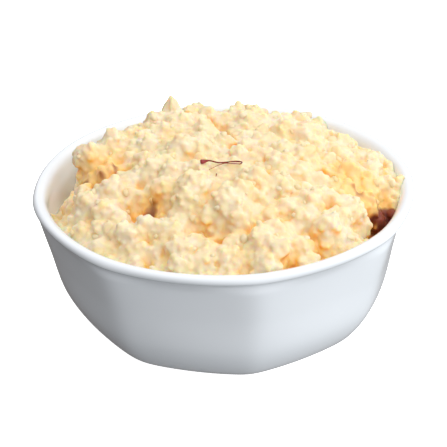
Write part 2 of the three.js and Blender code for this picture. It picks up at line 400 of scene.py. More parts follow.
def place(tree, kind, inputs=None, **settings):
    """Add a node to a tree, with its settings and its inputs' values or links."""
    node = tree.nodes.new(kind)
    for key, value in settings.items():
        setattr(node, key, value)
    give(tree, node, inputs or {})
    return node


def calc(tree, operation, a, b):
    """The result of one Math node."""
    return place(tree, "ShaderNodeMath", {0: a, 1: b}, operation=operation).outputs[0]


def times(tree, vector, factor):
    """A vector scaled by a number."""
    inputs = {"Vector": vector, "Scale": factor}
    return place(tree, "ShaderNodeVectorMath", inputs, operation="SCALE").outputs["Vector"]


def dot(tree, a, b):
    """Two vectors' dot product."""
    node = place(tree, "ShaderNodeVectorMath", {0: a, 1: b}, operation="DOT_PRODUCT")
    return node.outputs["Value"]


def attribute(tree, name):
    """A shader's reading of a mesh's own attribute."""
    return place(tree, "ShaderNodeAttribute", attribute_name=name).outputs["Fac"]


def new_tree(name, inputs):
    """A Geometry Nodes group with the named inputs beside its geometry, and what it is given."""
    tree = bpy.data.node_groups.new(name, "GeometryNodeTree")
    sockets = {"Geometry": "Geometry", **inputs}
    for label, kind in sockets.items():
        tree.interface.new_socket(label, in_out="INPUT", socket_type=f"NodeSocket{kind}")
    tree.interface.new_socket("Geometry", in_out="OUTPUT", socket_type="NodeSocketGeometry")
    return tree, place(tree, "NodeGroupInput").outputs


def ease(pairs, at):
    """Read (place, value) pairs as a smooth curve, at an array of places."""
    places, values = (np.array(column) for column in zip(*pairs))
    at = np.clip(at, places[0], places[-1])
    i = np.clip(np.searchsorted(places, at, side="right") - 1, 0, len(pairs) - 2)
    share = (at - places[i]) / (places[i + 1] - places[i])
    share = share * share * (3 - 2 * share)
    return values[i] + share * (values[i + 1] - values[i])


def served(right, away):
    """Turn millimetres right and away, seen from the serving side, to the frame's X and Y."""
    turn = bpy.context.scene.halwa_stage.serving_turn
    x = right * cos(turn) - away * sin(turn)
    y = right * sin(turn) + away * cos(turn)
    return x * MM, y * MM


def far_from(points, right, away, width):
    """Squared distance from a place seen from the serving side, counted in widths."""
    x, y = served(right, away)
    return ((points[:, 0] - x) ** 2 + (points[:, 1] - y) ** 2) / (width * MM) ** 2


def points_of(mesh):
    flat = np.empty(len(mesh.vertices) * 3)
    mesh.vertices.foreach_get("co", flat)
    return flat.reshape(-1, 3)


def normals_of(mesh):
    flat = np.empty(len(mesh.vertices) * 3)
    mesh.vertex_normals.foreach_get("vector", flat)
    return flat.reshape(-1, 3)


def move_points(mesh, points):
    mesh.vertices.foreach_set("co", points.ravel())
    mesh.update()


def write_attribute(mesh, name, values):
    layer = mesh.attributes.get(name) or mesh.attributes.new(name, "FLOAT", "POINT")
    layer.data.foreach_set("value", np.ascontiguousarray(values, dtype=np.float32))


def read_attribute(mesh, name):
    values = np.empty(len(mesh.vertices), dtype=np.float32)
    mesh.attributes[name].data.foreach_get("value", values)
    return values


def neighbour_mean(mesh, values, rounds, share=1.0):
    """Blend each vertex's values with the mean of its neighbours', some rounds over."""
    ends = np.empty(len(mesh.edges) * 2, dtype=np.int64)
    mesh.edges.foreach_get("vertices", ends)
    a, b = ends.reshape(-1, 2).T
    count = len(mesh.vertices)
    degree = np.maximum(np.bincount(a, minlength=count) + np.bincount(b, minlength=count), 1)
    out = values.reshape(count, -1).astype(float)
    for _ in range(rounds):
        mean = np.empty_like(out)
        for axis in range(out.shape[1]):
            column = out[:, axis]
            mean[:, axis] = np.bincount(a, column[b], count) + np.bincount(b, column[a], count)
        out += share * (mean / degree[:, None] - out)
    return out.reshape(values.shape)


def mesh_from(surface, name):
    """Turn a bmesh into a mesh, and free it."""
    mesh = bpy.data.meshes.new(name)
    surface.to_mesh(mesh)
    surface.free()
    return mesh


def faces_of(mesh):
    """A mesh's faces, ready to be hit by rays."""
    surface = bmesh.new()
    surface.from_mesh(mesh)
    tree = BVHTree.FromBMesh(surface)
    surface.free()
    return tree


def nearest_of(places, points):
    """The number of the nearest place to each point."""
    tree = KDTree(len(places))
    for i, spot in enumerate(places):
        tree.insert(spot, i)
    tree.balance()
    return np.array([tree.find(point)[1] for point in points])


def put_in_scene(name, mesh):
    made = bpy.data.objects.new(name, mesh)
    bpy.context.scene.collection.objects.link(made)
    return made


def evaluated_mesh(made):
    """What an object's modifiers make of it, as a plain mesh."""
    bpy.context.view_layer.update()
    graph = bpy.context.evaluated_depsgraph_get()
    return bpy.data.meshes.new_from_object(made.evaluated_get(graph), depsgraph=graph)


def settle(made):
    """Replace an object's mesh with what its modifiers make of it, and remove them."""
    plain = evaluated_mesh(made)
    made.modifiers.clear()
    old, made.data = made.data, plain
    bpy.data.meshes.remove(old)
    return made


def run_tree(made, tree, values):
    """Put an object through a Geometry Nodes group, its inputs given by name."""
    modifier = made.modifiers.new(tree.name, "NODES")
    modifier.node_group = tree
    for socket in tree.interface.items_tree:
        if socket.item_type == "SOCKET" and socket.in_out == "INPUT" and socket.name in values:
            modifier[socket.identifier] = values[socket.name]
    return settle(made)


def discard(made):
    mesh = made.data
    bpy.data.objects.remove(made)
    bpy.data.meshes.remove(mesh)


def put_in_order(made):
    """Number a mesh of quads by place, so that a scatter over it falls the same each run."""
    old = made.data
    points = points_of(old)
    corners = np.empty(len(old.loops), dtype=np.int64)
    old.loops.foreach_get("vertex_index", corners)
    order = np.lexsort(np.round(points.T, 8))
    number = np.empty(len(order), dtype=np.int64)
    number[order] = np.arange(len(order))
    faces = number[corners].reshape(-1, 4)
    turn = (np.arange(4) + faces.argmin(axis=1)[:, None]) % 4
    faces = np.take_along_axis(faces, turn, axis=1)
    faces = faces[np.lexsort(faces.T[::-1])]
    made.data = bpy.data.meshes.new(old.name)
    made.data.from_pydata(points[order], [], faces)
    made.data.update()
    bpy.data.meshes.remove(old)
    return made


def remesh(made, cell):
    """Join everything in an object into one skin on a grid of cells."""
    modifier = made.modifiers.new("skin", "REMESH")
    modifier.mode = "VOXEL"
    modifier.voxel_size = cell
    return put_in_order(settle(made))


def hand_over(made, material, node=None):
    """Give a finished piece its material, its body and the node it stands for."""
    made.data.materials.clear()
    made.data.materials.append(material)
    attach(made, "root")
    if node:
        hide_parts(node)


def new_material(name):
    material = bpy.data.materials.new(name)
    material.use_nodes = True
    tree = material.node_tree
    return material, tree, tree.nodes["Principled BSDF"]


def object_coordinates(tree):
    return place(tree, "ShaderNodeTexCoord").outputs["Object"]


def mix_colours(tree, factor, a, b):
    """A colour mix; the mix node's colour sockets are found by their identifiers."""
    node = place(tree, "ShaderNodeMix", data_type="RGBA")
    sockets = {socket.identifier: socket for socket in node.inputs}
    for name, value in (("Factor_Float", factor), ("A_Color", a), ("B_Color", b)):
        if isinstance(value, bpy.types.NodeSocket):
            tree.links.new(value, sockets[name])
        else:
            sockets[name].default_value = (*value, 1.0)
    return next(s for s in node.outputs if s.identifier == "Result_Color")


def noise_value(tree, at, scale, detail=2.0, roughness=0.5):
    inputs = {"Vector": at, "Scale": scale, "Detail": detail, "Roughness": roughness}
    return place(tree, "ShaderNodeTexNoise", inputs).outputs["Fac"]


def ranged(tree, value, low, high, to_low=0.0, to_high=1.0):
    """A value's place between two limits, as a number between two others."""
    limits = {"From Min": low, "From Max": high, "To Min": to_low, "To Max": to_high}
    node = place(tree, "ShaderNodeMapRange", {"Value": value, **limits}, clamp=True)
    return node.outputs["Result"]


def bump(tree, height, strength, distance):
    inputs = {"Height": height, "Strength": strength, "Distance": distance}
    return place(tree, "ShaderNodeBump", inputs).outputs["Normal"]


# ---- The bowl's shape ----


def spline(points, count):
    """Points along a smooth curve through the given ones, as many from each to the next."""
    knots = np.array([points[0], *points, points[-1]])
    last = len(points) - 1
    out = []
    for t in np.linspace(0, last, count):
        i = min(int(t), last - 1)
        u = t - i
        p0, p1, p2, p3 = knots[i : i + 4]
        v1, v2 = (p2 - p0) / 2, (p3 - p1) / 2
        cubic = (2 * p1 - 2 * p2 + v1 + v2) * u**3 + (3 * p2 - 3 * p1 - 2 * v1 - v2) * u**2
        out.append(cubic + v1 * u + p1)
    return np.array(out)


def bend(start, control, end, count):
    """A quadratic curve's points, without its start."""
    t = np.linspace(0, 1, count + 1)[1:, None]
    return (1 - t) ** 2 * start + 2 * t * (1 - t) * control + t**2 * end


def soften(before, corner, after, radius, count=5):
    """Points that round off a corner between two others."""
    corner = np.array(corner, dtype=float)
    ends = []
    for other in (before, after):
        way = np.array(other, dtype=float) - corner
        reach = np.linalg.norm(way)
        ends.append(corner + way / reach * min(radius, reach / 2))
    return np.vstack([ends[0], bend(ends[0], corner, ends[1], count)])


def bowl_section(sizes):
    """The bowl's section before the facets: the outside and the inside, from the middle out."""
    wall = spline(WALL_OUTLINE, 64)
    along = np.gradient(wall, axis=0)
    along /= np.linalg.norm(along, axis=1)[:, None]
    inside = wall + sizes.wall_thickness * np.column_stack([-along[:, 1], along[:, 0]])
    roll_end = sizes.height - sizes.roll_depth

    bead = sizes.lip_depth / 2
    turns = np.radians(np.linspace(-45, 90, 15))
    middle = np.array([sizes.rim_radius - bead, sizes.height - bead])
    beads = middle + bead * np.column_stack([np.cos(turns), np.sin(turns)])
    flare = bend(wall[-1], wall[-1] + along[-1] * sizes.flare_depth, beads[0], 8)[:-1]

    roll_foot = np.array([np.interp(roll_end, inside[:, 1], inside[:, 0]), roll_end])
    roll_top = np.array([sizes.rim_radius - sizes.lip_width, sizes.height])
    roll = bend(beads[-1], roll_top, roll_foot, 14)

    base = WALL_OUTLINE[0][0]
    ring = base - sizes.foot_width
    recess = (ring - sizes.recess_depth, sizes.recess_depth)
    edge = 0.7 * MM
    across = np.linspace(0, recess[0] - 2 * MM, 8)
    under = np.column_stack([across, np.full(8, sizes.recess_depth)])
    recess_corner = soften((0, sizes.recess_depth), recess, (ring, 0), edge)
    ring_corner = soften(recess, (ring, 0), (base, 0), edge)
    foot_corner = soften((ring, 0), (base, 0), wall[6], edge)
    lower_wall = wall[wall[:, 1] > foot_corner[-1][1] + 0.3 * MM]
    outside = np.vstack([under, recess_corner, ring_corner, foot_corner, lower_wall, flare, beads])

    cove = 4 * MM
    bottom = (inside[:, 1] < sizes.floor_thickness + cove).sum()
    floor_edge = np.array([inside[bottom][0] - 0.6 * cove, sizes.floor_thickness])
    floor_start = floor_edge - np.array([cove, 0])
    cove_points = bend(floor_start, floor_edge, inside[bottom], 6)[:-1]
    across = np.linspace(0, floor_start[0], FLOOR_RINGS)
    floor = np.column_stack([across, np.full(FLOOR_RINGS, floor_edge[1])])
    upper = inside[bottom:][inside[bottom:, 1] < roll_end - 0.3 * MM]
    hollow = np.vstack([floor, cove_points, upper, roll[::-1]])
    return outside, hollow


def octagon(angle, crispness):
    """The radius of a rounded octagon with its flats at 1."""
    facing = np.cos(np.subtract.outer(angle, np.arange(FACETS) * 2 * pi / FACETS))
    return (np.maximum(facing, 0) ** crispness).sum(axis=-1) ** (-1 / crispness)


def facet_factor(angle, height, crispness):
    """How a round section is swelled or drawn in, at angles and heights."""
    mean = octagon(np.linspace(0, 2 * pi / FACETS, 90, endpoint=False), crispness).mean()
    return 1 + ease(FACET_SHARE, height) * (octagon(angle, crispness) / mean - 1)


def inside_limit(points):
    """How far out the bowl's inside is at each point's bearing and height."""
    sizes = bpy.context.scene.halwa_bowl
    hollow = bowl_section(sizes)[1]
    walls = hollow[FLOOR_RINGS - 1 :]
    order = np.argsort(walls[:, 1])
    radius = np.interp(points[:, 2], walls[order, 1], walls[order, 0])
    angle = np.arctan2(points[:, 1], points[:, 0])
    return radius * facet_factor(angle, points[:, 2], sizes.crispness)


def lathe(section, segments, crispness):
    """Turn a closed section, from axis to axis, and give it the bowl's facets."""
    angles = np.arange(segments) * 2 * pi / segments
    rings = section[1:-1]
    radius = rings[:, :1] * facet_factor(angles[None, :], rings[:, 1:], crispness)
    x, y = radius * np.cos(angles), radius * np.sin(angles)
    z = np.repeat(rings[:, 1:], segments, axis=1)
    points = np.vstack([np.stack([x, y, z], axis=-1).reshape(-1, 3), np.zeros((2, 3))])
    first, last = len(points) - 2, len(points) - 1
    points[first, 2], points[last, 2] = section[0, 1], section[-1, 1]
    faces = []
    for i in range(segments):
        j = (i + 1) % segments
        faces.append((first, j, i))
        for ring in range(len(rings) - 1):
            low, high = ring * segments, (ring + 1) * segments
            faces.append((low + i, low + j, high + j, high + i))
        top = (len(rings) - 1) * segments
        faces.append((top + i, top + j, last))
    mesh = bpy.data.meshes.new("lathed")
    mesh.from_pydata(points.tolist(), [], faces)
    mesh.update()
    return mesh


def glaze_material(sizes):
    """White glaze: glassy, with a faint unevenness in its tone, gloss and surface."""
    material, tree, shader = new_material("white_glaze")
    at = object_coordinates(tree)
    tone = ranged(tree, noise_value(tree, at, 28.0, 3.0), 0.3, 0.7)
    paler = [min(1.0, channel * 1.03) for channel in sizes.glaze]
    finish = {
        "Base Color": mix_colours(tree, tone, sizes.glaze, paler),
        "Roughness": ranged(tree, noise_value(tree, at, 90.0, 4.0), 0.3, 0.75, 0.09, 0.15),
        "Normal": bump(tree, noise_value(tree, at, 55.0, 1.0), 0.25, 0.1 * MM),
        "IOR": 1.5,
        "Specular IOR Level": 0.42,
        "Coat Weight": 0.25,
        "Coat Roughness": 0.05,
    }
    give(tree, shader, finish)
    return material


# ---- The halwa's shape ----


def curd_shapes(seed):
    """Knobbly curds about 1 m in radius, for the scatter to shrink and place."""
    shelf = bpy.data.collections.new("curd shapes")
    for i in range(SHAPES):
        ball = bmesh.new()
        bmesh.ops.create_cube(ball, size=2.0)
        bmesh.ops.subdivide_edges(ball, edges=ball.edges, cuts=2, use_grid_fill=True)
        far = Vector((17.3 * i, 5.1 * seed, 3.7 * i))
        for vertex in ball.verts:
            way = vertex.co.normalized()
            swell = 0.3 * noise.noise(way * 1.25 + far) + 0.16 * noise.noise(way * 2.6 + far)
            vertex.co = way * (1.0 + swell)
        mesh = mesh_from(ball, f"curd shape {i}")
        mesh.shade_smooth()
        shelf.objects.link(bpy.data.objects.new(f"curd shape {i}", mesh))
    return shelf


def clear_shelf(shelf):
    for made in list(shelf.objects):
        discard(made)
    bpy.data.collections.remove(shelf)


def scatter_tree():
    """Scatter shapes over a surface where its "open" attribute lets them.

    Sizes run from the smallest to the largest, more of them small as Skew goes up. Each
    shape is sunk into the surface by a share of its own size, and keeps a random "grain".
    """
    inputs = {
        "Shapes": "Collection",
        "Spacing": "Float",
        "Density": "Float",
        "Smallest": "Float",
        "Largest": "Float",
        "Skew": "Float",
        "Sink": "Float",
        "Seed": "Int",
        "Material": "Material",
    }
    tree, given = new_tree("Scatter curds", inputs)
    openness = place(tree, "GeometryNodeInputNamedAttribute", {"Name": "open"}, data_type="FLOAT")
    points = place(
        tree,
        "GeometryNodeDistributePointsOnFaces",
        {
            "Mesh": given["Geometry"],
            "Distance Min": given["Spacing"],
            "Density Max": given["Density"],
            "Density Factor": openness.outputs["Attribute"],
            "Seed": given["Seed"],
        },
        distribute_method="POISSON",
    ).outputs

    def chance(step, low=0.0, high=1.0):
        """A random number for each point."""
        seed = calc(tree, "ADD", given["Seed"], float(step))
        node = place(tree, "FunctionNodeRandomValue", {"Seed": seed}, data_type="FLOAT")
        sockets = {socket.identifier: socket for socket in node.inputs}
        sockets["Min_001"].default_value = low
        sockets["Max_001"].default_value = high
        return next(s for s in node.outputs if s.identifier == "Value_001")

    def three_chances(first, *ranges):
        """Three random numbers for each point, as a vector."""
        parts = {i: chance(first + i, *ranges[i]) for i in range(3)}
        return place(tree, "ShaderNodeCombineXYZ", parts).outputs[0]

    skewed = calc(tree, "POWER", chance(1), given["Skew"])
    size = place(
        tree,
        "ShaderNodeMapRange",
        {"Value": skewed, "To Min": given["Smallest"], "To Max": given["Largest"]},
    ).outputs["Result"]
    downward = calc(tree, "MULTIPLY", calc(tree, "MULTIPLY", size, given["Sink"]), -1.0)
    offset = times(tree, points["Normal"], downward)
    sunk = place(tree, "GeometryNodeSetPosition", {"Geometry": points["Points"], "Offset": offset})
    stretch = three_chances(2, (0.8, 1.25), (0.8, 1.25), (0.65, 1.1))
    whole_turn = (0.0, 2 * pi)
    angles = three_chances(5, whole_turn, whole_turn, whole_turn)
    turn = place(tree, "FunctionNodeEulerToRotation", {"Euler": angles}).outputs["Rotation"]
    shapes = place(
        tree,
        "GeometryNodeCollectionInfo",
        {"Collection": given["Shapes"], "Separate Children": True, "Reset Children": True},
    )
    curds = place(
        tree,
        "GeometryNodeInstanceOnPoints",
        {
            "Points": sunk.outputs["Geometry"],
            "Instance": shapes.outputs[0],
            "Pick Instance": True,
            "Instance Index": calc(tree, "FLOOR", chance(8, 0.0, SHAPES - 0.001), 0.0),
            "Rotation": turn,
            "Scale": times(tree, stretch, size),
        },
    )
    grained = place(
        tree,
        "GeometryNodeStoreNamedAttribute",
        {"Geometry": curds.outputs[0], "Name": "grain", "Value": chance(9)},
        data_type="FLOAT",
        domain="INSTANCE",
    )
    real = place(tree, "GeometryNodeRealizeInstances", {"Geometry": grained.outputs[0]})
    finished = place(
        tree,
        "GeometryNodeSetMaterial",
        {"Geometry": real.outputs[0], "Material": given["Material"]},
    )
    place(tree, "NodeGroupOutput", {"Geometry": finished.outputs[0]})
    return tree


def scatter(surface, name, shapes, material, **inputs):
    """Run the scatter tree over a surface's mesh and return the curds as one object."""
    tree = bpy.data.node_groups.get("Scatter curds") or scatter_tree()
    made = put_in_scene(name, surface.copy())
    return run_tree(made, tree, {"Shapes": shapes, "Material": material, **inputs})


def sky_tree():
    """Store how much of the sky each vertex sees past its own mesh, as "sky" from 0 to 1."""
    tree, given = new_tree("Measure sky", {"Reach": "Float", "Clearance": "Float"})
    normal = place(tree, "GeometryNodeInputNormal").outputs["Normal"]
    spot = place(tree, "GeometryNodeInputPosition").outputs["Position"]
    lift = times(tree, normal, given["Clearance"])
    start = place(tree, "ShaderNodeVectorMath", {0: spot, 1: lift}, operation="ADD").outputs[0]
    seen, whole = 0.0, 0.0
    for count, elevation, shift in ((1, 90, 0.0), (5, 58, 0.0), (8, 27, 0.25)):
        for i in range(count):
            bearing = 2 * pi * (i + shift) / count
            level = cos(radians(elevation))
            way = (level * cos(bearing), level * sin(bearing), sin(radians(elevation)))
            weight = calc(tree, "MAXIMUM", dot(tree, normal, way), 0.0)
            ray = place(
                tree,
                "GeometryNodeRaycast",
                {
                    "Target Geometry": given["Geometry"],
                    "Source Position": start,
                    "Ray Direction": way,
                    "Ray Length": given["Reach"],
                },
            )
            clear = calc(tree, "SUBTRACT", 1.0, ray.outputs["Is Hit"])
            seen = calc(tree, "ADD", seen, calc(tree, "MULTIPLY", clear, weight))
            whole = calc(tree, "ADD", whole, weight)
    share = calc(tree, "DIVIDE", seen, calc(tree, "MAXIMUM", whole, OPEN_SKY))
    stored = place(
        tree,
        "GeometryNodeStoreNamedAttribute",
        {"Geometry": given["Geometry"], "Name": "sky", "Value": share},
        data_type="FLOAT",
        domain="POINT",
    )
    place(tree, "NodeGroupOutput", {"Geometry": stored.outputs[0]})
    return tree


def fit_in_bowl(mesh, overlap):
    """Keep a mesh inside the bowl's wall, or a little into it, and under the frame's top."""
    points = points_of(mesh)
    radius = np.hypot(points[:, 0], points[:, 1])
    rim = bpy.context.scene.halwa_bowl.height
    limit = np.where(points[:, 2] < rim, inside_limit(points) + overlap, OVERHANG)
    limit = np.minimum(limit, OVERHANG + overlap)
    shrink = np.minimum(1.0, limit / np.maximum(radius, 1e-9))
    points[:, :2] *= shrink[:, None]
    points[:, 2] = np.minimum(points[:, 2], cad_box[1][2])
    move_points(mesh, points)


def gaps_at(points):
    """How deep the gaps between the masses are at each point, and how far it is in one."""
    far_off = Vector((7.3, 2.9, 5.1))
    sideways = [noise.noise(Vector(p) * WANDER_SCALE) for p in points]
    onward = [noise.noise(Vector(p) * WANDER_SCALE + far_off) for p in points]
    strayed = points[:, :2] + WANDER * np.column_stack([sideways, onward])
    depth, within = np.zeros(len(points)), np.zeros(len(points))
    for right, away, width, deep in GAPS:
        far = far_from(strayed, right, away, width)
        depth = np.maximum(depth, deep * MM * np.exp(-(far**1.2)))
        most = min(1.0, deep / DEEPEST_GAP)
        within = np.maximum(within, most * np.exp(-((far / 1.3) ** 2)))
    return depth, within


def painted_shade_at(points):
    """How much shade is painted into the curds' colour at each point: in the gaps and in the listed
    places.
    """
    shade_share = 0.45 * gaps_at(points)[1]
    for right, away, width, share, top in PAINTED_SHADE_SPOTS:
        low = np.clip((top * MM - points[:, 2]) / (5 * MM), 0, 1)
        shade_share += share * low * np.exp(-(far_from(points, right, away, width) ** 1.5))
    return np.clip(shade_share, 0, 1)


def raise_peaks(mesh):
    """Lift the highest curds over the frame's outline, and let the lowest sink."""
    points = points_of(mesh)
    lift = np.zeros(len(points))
    for right, away, width, high in PEAKS:
        lift += high * MM * np.exp(-(far_from(points, right, away, width) ** 1.5))
    points[:, 2] += lift * (points[:, 2] > LOWEST_PEAK)
    move_points(mesh, points)


def heap_core(sizes):
    """The heap's outline, drawn in to leave room for curds and pushed out to the wall."""
    shell = bmesh.new()
    shell.from_mesh(frame["nodes"]["halwa"].data)
    bmesh.ops.remove_doubles(shell, verts=shell.verts, dist=1e-6)
    heap = remesh(put_in_scene("halwa_heap", mesh_from(shell, "heap core")), CORE_CELL)
    points, normals = points_of(heap.data), normals_of(heap.data)
    radius = np.hypot(points[:, 0], points[:, 1])
    gap = inside_limit(points) - radius
    side = (gap < AT_WALL) & (points[:, 2] < LIP_LINE) & (normals[:, 2] < 0.5)
    top = ~side & (points[:, 2] > LOWEST_TOP)
    drawn_in = sizes.sink * (1 - 0.5 * bed_share(points))
    points[top] -= (normals * drawn_in[:, None])[top]
    points[side, :2] *= ((radius + gap + PRESSED_IN) / radius)[side, None]
    loose = points[:, 2] > LOWEST_GAP
    points[loose, 2] -= gaps_at(points)[0][loose]
    move_points(heap.data, points)
    return heap


def open_to_air(mesh):
    """1 where a vertex lies on the heap's open top, 0 against the bowl."""
    points, normals = points_of(mesh), normals_of(mesh)
    gap = inside_limit(points) - np.hypot(points[:, 0], points[:, 1])
    clear = (gap > CLEAR_OF_WALL) | (points[:, 2] > LIP_LINE) | (normals[:, 2] > 0.6)
    return (clear & (points[:, 2] > LOWEST_TOP) & (normals[:, 2] > -0.55)).astype(float)


def bed_share(points):
    """1 on the smooth place under the saffron, 0 well away from it."""
    x, y = served(*BED)
    away = np.hypot(points[:, 0] - x, points[:, 1] - y)
    return np.clip((BED_RADIUS - away) / BED_FADE, 0, 1)


def level_bed(mesh):
    """Bring the place under the saffron back to the frame's height and tilt, bumps and all."""
    points, normals = points_of(mesh), normals_of(mesh)
    share = bed_share(points)
    under = np.flatnonzero((share > 0.2) & (normals[:, 2] > 0.3))
    outline = faces_of(frame["nodes"]["halwa"].data)
    off = []
    for x, y, z in points[under]:
        hit = outline.ray_cast(Vector((x, y, OVER_ALL)), Vector((0, 0, -1)))[0]
        off.append(hit.z - z)
    flat = np.column_stack([np.ones(len(under)), points[under, :2]])
    tilt = np.linalg.lstsq(flat, np.array(off), rcond=None)[0]
    points[:, 2] += share * (tilt[0] + points[:, :2] @ tilt[1:])
    move_points(mesh, points)


def crumble(mesh, seed, amount=0.16 * MM, scale=520.0):
    """Move the surface in and out by layered noise."""
    points, normals = points_of(mesh), normals_of(mesh)
    far = Vector((seed * 3.1, seed * 1.7, 0.4))
    lift = np.array([noise.fractal(Vector(p) * scale + far, 0.8, 2.0, 3) for p in points])
    points += normals * (amount * lift)[:, None]
    move_points(mesh, points)


def add_curds(heap, material, cell, gap_avoidance, bed_avoidance, **inputs):
    """Grow scattered curds into one skin with the heap, and return some places and grains."""
    points = points_of(heap.data)
    within = gaps_at(points)[1]
    share = open_to_air(heap.data) * (1 - np.clip(gap_avoidance * within, 0, 1))
    share *= 1 - bed_avoidance * bed_share(points)
    write_attribute(heap.data, "open", share)
    shapes = curd_shapes(inputs["Seed"])
    curds = scatter(heap.data, "curds", shapes, material, **inputs)
    clear_shelf(shapes)
    every = 6
    places = points_of(curds.data)[::every].copy()
    grains = read_attribute(curds.data, "grain")[::every].copy()
    both = bmesh.new()
    both.from_mesh(heap.data)
    both.from_mesh(curds.data)
    both.to_mesh(heap.data)
    both.free()
    discard(curds)
    remesh(heap, cell)
    return places, grains


def thin_hidden(made, budget, kept=0.12):
    """Use few triangles where the heap lies against the bowl, and meet a budget overall."""
    hidden = read_attribute(made.data, "open") < 0.5
    modifier = made.modifiers.new("thin the hidden", "DECIMATE")
    modifier.ratio = 1 - hidden.mean() * (1 - kept)
    group = made.vertex_groups.new(name="hidden")
    group.add(np.flatnonzero(hidden).tolist(), 1.0, "REPLACE")
    modifier.vertex_group = group.name
    settle(made)
    made.vertex_groups.clear()
    made.data.calc_loop_triangles()
    modifier = made.modifiers.new("thin all", "DECIMATE")
    modifier.ratio = min(1.0, budget / len(made.data.loop_triangles))
    settle(made)


def drop_flaps(mesh):
    """Delete the flaps that thinning can leave: faces with an edge that no other face has."""
    surface = bmesh.new()
    surface.from_mesh(mesh)
    flaps = [face for face in surface.faces if any(edge.is_boundary for edge in face.edges)]
    bmesh.ops.delete(surface, geom=flaps, context="FACES")
    surface.to_mesh(mesh)
    surface.free()


def halwa_material(sizes, name, translucency):
    """Moist milk curd: pale on its faces, with painted shade golden to brown between the curds.

    It reads "sky" for how open a place is, painting more shade where it is low, the
    painted-shade attribute for where more shade is painted, and "grain" for its curd's own tone.
    """
    material, tree, shader = new_material(name)
    at = object_coordinates(tree)
    grain = attribute(tree, "grain")
    sky = attribute(tree, "sky")
    shade_share = attribute(tree, "painted_shade")
    pale = tuple(sizes.curd)
    yellow = (pale[0], pale[1] * 0.92, pale[2] * 0.76)
    pink = (pale[0] * 1.03, pale[1] * 0.965, pale[2] * 0.93)
    milky = (min(1.0, pale[0] * 1.02), min(1.0, pale[1] * 1.05), min(1.0, pale[2] * 1.22))
    patch = ranged(tree, noise_value(tree, at, 95.0, 2.0), 0.42, 0.66)
    blush = ranged(tree, noise_value(tree, at, 150.0, 2.0), 0.52, 0.70, 0.0, 0.6)
    base = mix_colours(tree, patch, pale, yellow)
    base = mix_colours(tree, blush, base, pink)
    base = mix_colours(tree, ranged(tree, grain, 0.55, 1.0, 0.0, 0.8), base, milky)
    base = mix_colours(tree, ranged(tree, grain, 0.30, 0.0, 0.0, 0.7), base, yellow)
    speck = ranged(tree, noise_value(tree, at, 900.0, 3.0), 0.35, 0.65, 0.0, 0.25)
    base = mix_colours(tree, speck, base, milky)
    # Painted shade: the less sky a place sees and the more shade painted there, the more golden,
    # then brown.
    seen = calc(tree, "SUBTRACT", sky, calc(tree, "MULTIPLY", shade_share, 0.5))
    for share, tone in (
        (ranged(tree, seen, 0.90, 0.42), SHADE_GOLD),
        (ranged(tree, seen, 0.42, 0.12), tuple(sizes.painted_shade)),
        (ranged(tree, seen, 0.15, -0.05), DEEPEST_SHADE_BROWN),
        (ranged(tree, shade_share, 0.8, 1.0), PAINTED_SHADE_BROWN),
    ):
        base = mix_colours(tree, share, base, tone)
    finish = {
        "Base Color": base,
        "Roughness": ranged(tree, noise_value(tree, at, 420.0, 3.0), 0.35, 0.7, 0.34, 0.62),
        "Normal": bump(tree, noise_value(tree, at, 1100.0, 4.0, 0.6), 0.35, 0.2 * MM),
        "Subsurface Weight": translucency,
        "Subsurface Radius": (1.0, 0.42, 0.13),
        "Subsurface Scale": 4.0 * MM,
        "IOR": 1.4,
        "Specular IOR Level": 0.4,
    }
    give(tree, shader, finish)
    return material


# ---- Operators ----


class HALWA_OT_bowl(bpy.types.Operator):
    """Make the glazed bowl with its soft facets and round lip"""

    bl_idname = "halwa.bowl"
    bl_label = "Glazed bowl"

    def execute(self, context):
        sizes = context.scene.halwa_bowl
        outside, hollow = bowl_section(sizes)
        section = np.vstack([outside, hollow[::-1][1:]])
        mesh = lathe(section, BOWL_SEGMENTS, sizes.crispness)
        mesh.shade_smooth()
        bowl = put_in_scene("glazed_bowl", mesh)
        hand_over(bowl, glaze_material(sizes), "bowl")
        return {"FINISHED"}


class HALWA_OT_heap(bpy.types.Operator):
    """Make the heap of curds over a core that follows the frame's outline"""

    bl_idname = "halwa.heap"
    bl_label = "Heap of halwa"

    def execute(self, context):
        sizes = context.scene.halwa_heap
        curd = halwa_material(sizes, "milk_curd", 0.8)
        heap = heap_core(sizes)
        add_curds(
            heap,
            curd,
            LUMP_CELL,
            gap_avoidance=1.5,
            bed_avoidance=1.0,
            Spacing=sizes.lump_spacing,
            Smallest=sizes.lump_smallest,
            Largest=sizes.lump_largest,
            Seed=sizes.seed,
            **LUMPS,
        )
        places, grains = add_curds(
            heap,
            curd,
            sizes.fineness,
            gap_avoidance=0.4,
            bed_avoidance=0.0,
            Spacing=sizes.grain_spacing,
            Smallest=sizes.grain_smallest,
            Largest=sizes.grain_largest,
            Seed=sizes.seed + 30,
            **GRAINS,
        )
        mesh = heap.data
        move_points(mesh, neighbour_mean(mesh, points_of(mesh), 1, 0.5))
        crumble(mesh, sizes.seed)
        level_bed(mesh)
        raise_peaks(mesh)
        fit_in_bowl(mesh, HEAP_OVERLAP)
        write_attribute(mesh, "open", open_to_air(mesh))
        thin_hidden(heap, HEAP_TRIANGLES)
        drop_flaps(heap.data)
        fit_in_bowl(heap.data, HEAP_OVERLAP)
        # How much sky each vertex sees, and where more shade is painted: both set the painted shade
        # in the curds' colour.
        run_tree(heap, sky_tree(), {"Reach": SKY_REACH, "Clearance": SKY_CLEARANCE})
        mesh = heap.data
        points = points_of(mesh)
        write_attribute(mesh, "sky", neighbour_mean(mesh, read_attribute(mesh, "sky"), 1, 0.6))
        tone = neighbour_mean(mesh, grains[nearest_of(places, points)], 2, 0.5)
        write_attribute(mesh, "grain", tone)
        write_attribute(mesh, "painted_shade", painted_shade_at(points))
        mesh.shade_smooth()
        hand_over(heap, curd, "halwa")
        return {"FINISHED"}


